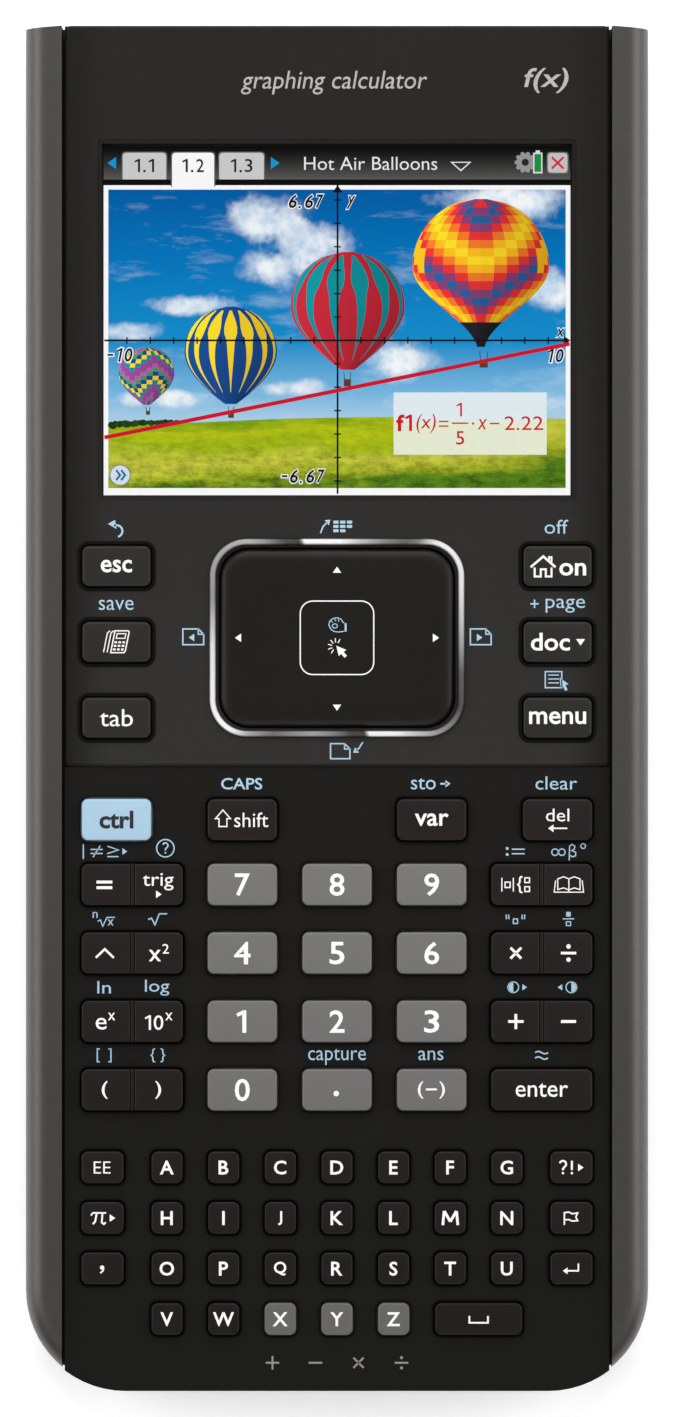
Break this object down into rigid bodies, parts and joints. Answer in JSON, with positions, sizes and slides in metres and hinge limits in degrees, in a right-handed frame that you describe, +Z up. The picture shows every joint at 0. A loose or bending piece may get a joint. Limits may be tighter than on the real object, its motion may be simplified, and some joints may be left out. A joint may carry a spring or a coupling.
{
  "type": "graphing calculator",
  "caption": "Handheld graphing calculator with a colour display, a click touchpad in a chrome ring, rocker and number keys and a letter keypad, lying flat on rubber feet.",
  "frame": {"origin": "on the table under the middle of the case, at the underside of the rubber feet", "axes": "+X to the right across the keys, +Y from the letter keys towards the display, +Z up out of the keys"},
  "size_m": [0.087, 0.1906, 0.0154],
  "materials": {
    "front_panel_plastic": "fine matt texture",
    "rear_shell_plastic": "fine matt texture",
    "fascia_plastic": "satin, slightly pearlescent",
    "rail_paint": "satin metallic paint",
    "window_clear": "polished",
    "display_panel": "lit colour display",
    "ring_chrome": "polished",
    "pad_plastic": "low sheen",
    "upper_key_plastic": "satin",
    "blue_key_plastic": "satin",
    "dark_key_plastic": "satin",
    "grey_key_plastic": "satin",
    "membrane_rubber": "translucent silicone",
    "foot_rubber": "matt",
    "screw_steel": "zinc plated",
    "socket_steel": "nickel plated",
    "stiffener_steel": "rolled",
    "board_green": "solder mask",
    "battery_wrap": "shrink sleeve",
    "dock_plastic": "moulded",
    "ribbon_film": "polyimide film",
    "reset_plastic": "moulded"
  },
  "bodies": {
    "body": {"front_housing": "front_panel_plastic", "upper_fascia": "fascia_plastic", "left_side_rail": "rail_paint", "right_side_rail": "rail_paint", "rear_housing": "rear_shell_plastic", "battery_cover": "rear_shell_plastic", "battery_pack": "battery_wrap", "main_circuit_board": "board_green", "display_module": "display_panel", "display_window": "window_clear", "display_ribbon_cable": "ribbon_film", "touchpad_ring": "ring_chrome", "keypad_membrane": "membrane_rubber", "usb_socket": "socket_steel", "dock_connector": "dock_plastic", "case_screws": "screw_steel", "rubber_feet": "foot_rubber"},
    "bracket_rocker": {"bracket_rocker": "dark_key_plastic"},
    "control_key": {"control_key": "blue_key_plastic"},
    "delete_key": {"delete_key": "dark_key_plastic"},
    "digit_0_key": {"digit_0_key": "grey_key_plastic"},
    "digit_1_key": {"digit_1_key": "grey_key_plastic"},
    "digit_2_key": {"digit_2_key": "grey_key_plastic"},
    "digit_3_key": {"digit_3_key": "grey_key_plastic"},
    "digit_4_key": {"digit_4_key": "grey_key_plastic"},
    "digit_5_key": {"digit_5_key": "grey_key_plastic"},
    "digit_6_key": {"digit_6_key": "grey_key_plastic"},
    "digit_7_key": {"digit_7_key": "grey_key_plastic"},
    "digit_8_key": {"digit_8_key": "grey_key_plastic"},
    "digit_9_key": {"digit_9_key": "grey_key_plastic"},
    "document_key": {"document_key": "upper_key_plastic"},
    "enter_key": {"enter_key": "dark_key_plastic"},
    "equals_trig_rocker": {"equals_trig_rocker": "dark_key_plastic"},
    "escape_key": {"escape_key": "upper_key_plastic"},
    "exponential_rocker": {"exponential_rocker": "dark_key_plastic"},
    "home_key": {"home_key": "upper_key_plastic"},
    "left_symbol_keys": {"left_symbol_keys": "dark_key_plastic"},
    "letter_keys_a_to_g": {"letter_keys_a_to_g": "dark_key_plastic"},
    "letter_keys_h_to_n": {"letter_keys_h_to_n": "dark_key_plastic"},
    "letter_keys_o_to_u": {"letter_keys_o_to_u": "dark_key_plastic"},
    "letter_keys_v_w": {"letter_keys_v_w": "dark_key_plastic"},
    "letter_keys_x_y_z": {"letter_keys_x_y_z": "grey_key_plastic"},
    "menu_key": {"menu_key": "upper_key_plastic"},
    "multiply_divide_rocker": {"multiply_divide_rocker": "dark_key_plastic"},
    "negative_key": {"negative_key": "grey_key_plastic"},
    "plus_minus_rocker": {"plus_minus_rocker": "dark_key_plastic"},
    "point_key": {"point_key": "grey_key_plastic"},
    "power_square_rocker": {"power_square_rocker": "dark_key_plastic"},
    "reset_button": {"reset_button": "reset_plastic"},
    "right_symbol_keys": {"right_symbol_keys": "dark_key_plastic"},
    "scratchpad_key": {"scratchpad_key": "upper_key_plastic"},
    "shift_key": {"shift_key": "dark_key_plastic"},
    "space_key": {"space_key": "dark_key_plastic"},
    "tab_key": {"tab_key": "upper_key_plastic"},
    "template_catalog_rocker": {"template_catalog_rocker": "dark_key_plastic"},
    "touchpad": {"touchpad": "pad_plastic"},
    "touchpad_plunger": {"touchpad_plunger": "reset_plastic"},
    "touchpad_stiffener": {"touchpad_stiffener": "stiffener_steel"},
    "variable_key": {"variable_key": "dark_key_plastic"}
  },
  "joints": [
    {"name": "bracket_rocker_tilt", "type": "hinge", "parent": "body", "child": "bracket_rocker", "pos_m": [-0.02855, -0.05317, 0.0136], "axis": [0, 1, 0], "range_deg": [-5, 5], "stiffness_Nm_per_rad": 0.02, "deforming": ["keypad_membrane"]},
    {"name": "control_key_press", "type": "slide", "parent": "body", "child": "control_key", "axis": [0, 0, -1], "range_m": [0, 0.0008], "stiffness_N_per_m": 400, "springref_m": -0.0008, "deforming": ["keypad_membrane"]},
    {"name": "delete_key_press", "type": "slide", "parent": "body", "child": "delete_key", "axis": [0, 0, -1], "range_m": [0, 0.0008], "stiffness_N_per_m": 400, "springref_m": -0.0008, "deforming": ["keypad_membrane"]},
    {"name": "digit_0_key_press", "type": "slide", "parent": "body", "child": "digit_0_key", "axis": [0, 0, -1], "range_m": [0, 0.0008], "stiffness_N_per_m": 400, "springref_m": -0.0008, "deforming": ["keypad_membrane"]},
    {"name": "digit_1_key_press", "type": "slide", "parent": "body", "child": "digit_1_key", "axis": [0, 0, -1], "range_m": [0, 0.0008], "stiffness_N_per_m": 400, "springref_m": -0.0008, "deforming": ["keypad_membrane"]},
    {"name": "digit_2_key_press", "type": "slide", "parent": "body", "child": "digit_2_key", "axis": [0, 0, -1], "range_m": [0, 0.0008], "stiffness_N_per_m": 400, "springref_m": -0.0008, "deforming": ["keypad_membrane"]},
    {"name": "digit_3_key_press", "type": "slide", "parent": "body", "child": "digit_3_key", "axis": [0, 0, -1], "range_m": [0, 0.0008], "stiffness_N_per_m": 400, "springref_m": -0.0008, "deforming": ["keypad_membrane"]},
    {"name": "digit_4_key_press", "type": "slide", "parent": "body", "child": "digit_4_key", "axis": [0, 0, -1], "range_m": [0, 0.0008], "stiffness_N_per_m": 400, "springref_m": -0.0008, "deforming": ["keypad_membrane"]},
    {"name": "digit_5_key_press", "type": "slide", "parent": "body", "child": "digit_5_key", "axis": [0, 0, -1], "range_m": [0, 0.0008], "stiffness_N_per_m": 400, "springref_m": -0.0008, "deforming": ["keypad_membrane"]},
    {"name": "digit_6_key_press", "type": "slide", "parent": "body", "child": "digit_6_key", "axis": [0, 0, -1], "range_m": [0, 0.0008], "stiffness_N_per_m": 400, "springref_m": -0.0008, "deforming": ["keypad_membrane"]},
    {"name": "digit_7_key_press", "type": "slide", "parent": "body", "child": "digit_7_key", "axis": [0, 0, -1], "range_m": [0, 0.0008], "stiffness_N_per_m": 400, "springref_m": -0.0008, "deforming": ["keypad_membrane"]},
    {"name": "digit_8_key_press", "type": "slide", "parent": "body", "child": "digit_8_key", "axis": [0, 0, -1], "range_m": [0, 0.0008], "stiffness_N_per_m": 400, "springref_m": -0.0008, "deforming": ["keypad_membrane"]},
    {"name": "digit_9_key_press", "type": "slide", "parent": "body", "child": "digit_9_key", "axis": [0, 0, -1], "range_m": [0, 0.0008], "stiffness_N_per_m": 400, "springref_m": -0.0008, "deforming": ["keypad_membrane"]},
    {"name": "document_key_press", "type": "slide", "parent": "body", "child": "document_key", "axis": [0, 0, -1], "range_m": [0, 0.0008], "stiffness_N_per_m": 400, "springref_m": -0.0008, "deforming": ["keypad_membrane"]},
    {"name": "enter_key_press", "type": "slide", "parent": "body", "child": "enter_key", "axis": [0, 0, -1], "range_m": [0, 0.0008], "stiffness_N_per_m": 400, "springref_m": -0.0008, "deforming": ["keypad_membrane"]},
    {"name": "equals_trig_rocker_tilt", "type": "hinge", "parent": "body", "child": "equals_trig_rocker", "pos_m": [-0.02855, -0.02455, 0.0136], "axis": [0, 1, 0], "range_deg": [-5, 5], "stiffness_Nm_per_rad": 0.02, "deforming": ["keypad_membrane"]},
    {"name": "escape_key_press", "type": "slide", "parent": "body", "child": "escape_key", "axis": [0, 0, -1], "range_m": [0, 0.0008], "stiffness_N_per_m": 400, "springref_m": -0.0008, "deforming": ["keypad_membrane"]},
    {"name": "exponential_rocker_tilt", "type": "hinge", "parent": "body", "child": "exponential_rocker", "pos_m": [-0.02855, -0.04363, 0.0136], "axis": [0, 1, 0], "range_deg": [-5, 5], "stiffness_Nm_per_rad": 0.02, "deforming": ["keypad_membrane"]},
    {"name": "home_key_press", "type": "slide", "parent": "body", "child": "home_key", "axis": [0, 0, -1], "range_m": [0, 0.0008], "stiffness_N_per_m": 400, "springref_m": -0.0008, "deforming": ["keypad_membrane"]},
    {"name": "left_symbol_keys_press", "type": "slide", "parent": "body", "child": "left_symbol_keys", "axis": [0, 0, -1], "range_m": [0, 0.0008], "stiffness_N_per_m": 400, "springref_m": -0.0008, "deforming": ["keypad_membrane"]},
    {"name": "letter_keys_a_to_g_press", "type": "slide", "parent": "body", "child": "letter_keys_a_to_g", "axis": [0, 0, -1], "range_m": [0, 0.0008], "stiffness_N_per_m": 400, "springref_m": -0.0008, "deforming": ["keypad_membrane"]},
    {"name": "letter_keys_h_to_n_press", "type": "slide", "parent": "body", "child": "letter_keys_h_to_n", "axis": [0, 0, -1], "range_m": [0, 0.0008], "stiffness_N_per_m": 400, "springref_m": -0.0008, "deforming": ["keypad_membrane"]},
    {"name": "letter_keys_o_to_u_press", "type": "slide", "parent": "body", "child": "letter_keys_o_to_u", "axis": [0, 0, -1], "range_m": [0, 0.0008], "stiffness_N_per_m": 400, "springref_m": -0.0008, "deforming": ["keypad_membrane"]},
    {"name": "letter_keys_v_w_press", "type": "slide", "parent": "body", "child": "letter_keys_v_w", "axis": [0, 0, -1], "range_m": [0, 0.0008], "stiffness_N_per_m": 400, "springref_m": -0.0008, "deforming": ["keypad_membrane"]},
    {"name": "letter_keys_x_y_z_press", "type": "slide", "parent": "body", "child": "letter_keys_x_y_z", "axis": [0, 0, -1], "range_m": [0, 0.0008], "stiffness_N_per_m": 400, "springref_m": -0.0008, "deforming": ["keypad_membrane"]},
    {"name": "menu_key_press", "type": "slide", "parent": "body", "child": "menu_key", "axis": [0, 0, -1], "range_m": [0, 0.0008], "stiffness_N_per_m": 400, "springref_m": -0.0008, "deforming": ["keypad_membrane"]},
    {"name": "multiply_divide_rocker_tilt", "type": "hinge", "parent": "body", "child": "multiply_divide_rocker", "pos_m": [0.02855, -0.03409, 0.0136], "axis": [0, 1, 0], "range_deg": [-5, 5], "stiffness_Nm_per_rad": 0.02, "deforming": ["keypad_membrane"]},
    {"name": "negative_key_press", "type": "slide", "parent": "body", "child": "negative_key", "axis": [0, 0, -1], "range_m": [0, 0.0008], "stiffness_N_per_m": 400, "springref_m": -0.0008, "deforming": ["keypad_membrane"]},
    {"name": "plus_minus_rocker_tilt", "type": "hinge", "parent": "body", "child": "plus_minus_rocker", "pos_m": [0.02855, -0.04363, 0.0136], "axis": [0, 1, 0], "range_deg": [-5, 5], "stiffness_Nm_per_rad": 0.02, "deforming": ["keypad_membrane"]},
    {"name": "point_key_press", "type": "slide", "parent": "body", "child": "point_key", "axis": [0, 0, -1], "range_m": [0, 0.0008], "stiffness_N_per_m": 400, "springref_m": -0.0008, "deforming": ["keypad_membrane"]},
    {"name": "power_square_rocker_tilt", "type": "hinge", "parent": "body", "child": "power_square_rocker", "pos_m": [-0.02855, -0.03409, 0.0136], "axis": [0, 1, 0], "range_deg": [-5, 5], "stiffness_Nm_per_rad": 0.02, "deforming": ["keypad_membrane"]},
    {"name": "reset_button_press", "type": "slide", "parent": "body", "child": "reset_button", "axis": [0, 0, 1], "range_m": [0, 0.00045], "stiffness_N_per_m": 400, "springref_m": -0.0005},
    {"name": "right_symbol_keys_press", "type": "slide", "parent": "body", "child": "right_symbol_keys", "axis": [0, 0, -1], "range_m": [0, 0.0008], "stiffness_N_per_m": 400, "springref_m": -0.0008, "deforming": ["keypad_membrane"]},
    {"name": "scratchpad_key_press", "type": "slide", "parent": "body", "child": "scratchpad_key", "axis": [0, 0, -1], "range_m": [0, 0.0008], "stiffness_N_per_m": 400, "springref_m": -0.0008, "deforming": ["keypad_membrane"]},
    {"name": "shift_key_press", "type": "slide", "parent": "body", "child": "shift_key", "axis": [0, 0, -1], "range_m": [0, 0.0008], "stiffness_N_per_m": 400, "springref_m": -0.0008, "deforming": ["keypad_membrane"]},
    {"name": "space_key_press", "type": "slide", "parent": "body", "child": "space_key", "axis": [0, 0, -1], "range_m": [0, 0.0008], "stiffness_N_per_m": 400, "springref_m": -0.0008, "deforming": ["keypad_membrane"]},
    {"name": "tab_key_press", "type": "slide", "parent": "body", "child": "tab_key", "axis": [0, 0, -1], "range_m": [0, 0.0008], "stiffness_N_per_m": 400, "springref_m": -0.0008, "deforming": ["keypad_membrane"]},
    {"name": "template_catalog_rocker_tilt", "type": "hinge", "parent": "body", "child": "template_catalog_rocker", "pos_m": [0.02855, -0.02455, 0.0136], "axis": [0, 1, 0], "range_deg": [-5, 5], "stiffness_Nm_per_rad": 0.02, "deforming": ["keypad_membrane"]},
    {"name": "touchpad_tilt_left_right", "type": "hinge", "parent": "touchpad_stiffener", "child": "touchpad", "pos_m": [0, 0.00986, 0.0113], "axis": [0, 1, 0], "range_deg": [-1, 1], "stiffness_Nm_per_rad": 1},
    {"name": "touchpad_click", "type": "slide", "parent": "body", "child": "touchpad_plunger", "axis": [0, 0, -1], "range_m": [0, 0.0005], "stiffness_N_per_m": 900, "springref_m": -0.0005},
    {"name": "touchpad_tilt_up_down", "type": "hinge", "parent": "touchpad_plunger", "child": "touchpad_stiffener", "pos_m": [0, 0.00986, 0.01065], "axis": [1, 0, 0], "range_deg": [-1, 1], "stiffness_Nm_per_rad": 1},
    {"name": "variable_key_press", "type": "slide", "parent": "body", "child": "variable_key", "axis": [0, 0, -1], "range_m": [0, 0.0008], "stiffness_N_per_m": 400, "springref_m": -0.0008, "deforming": ["keypad_membrane"]}
  ]
}
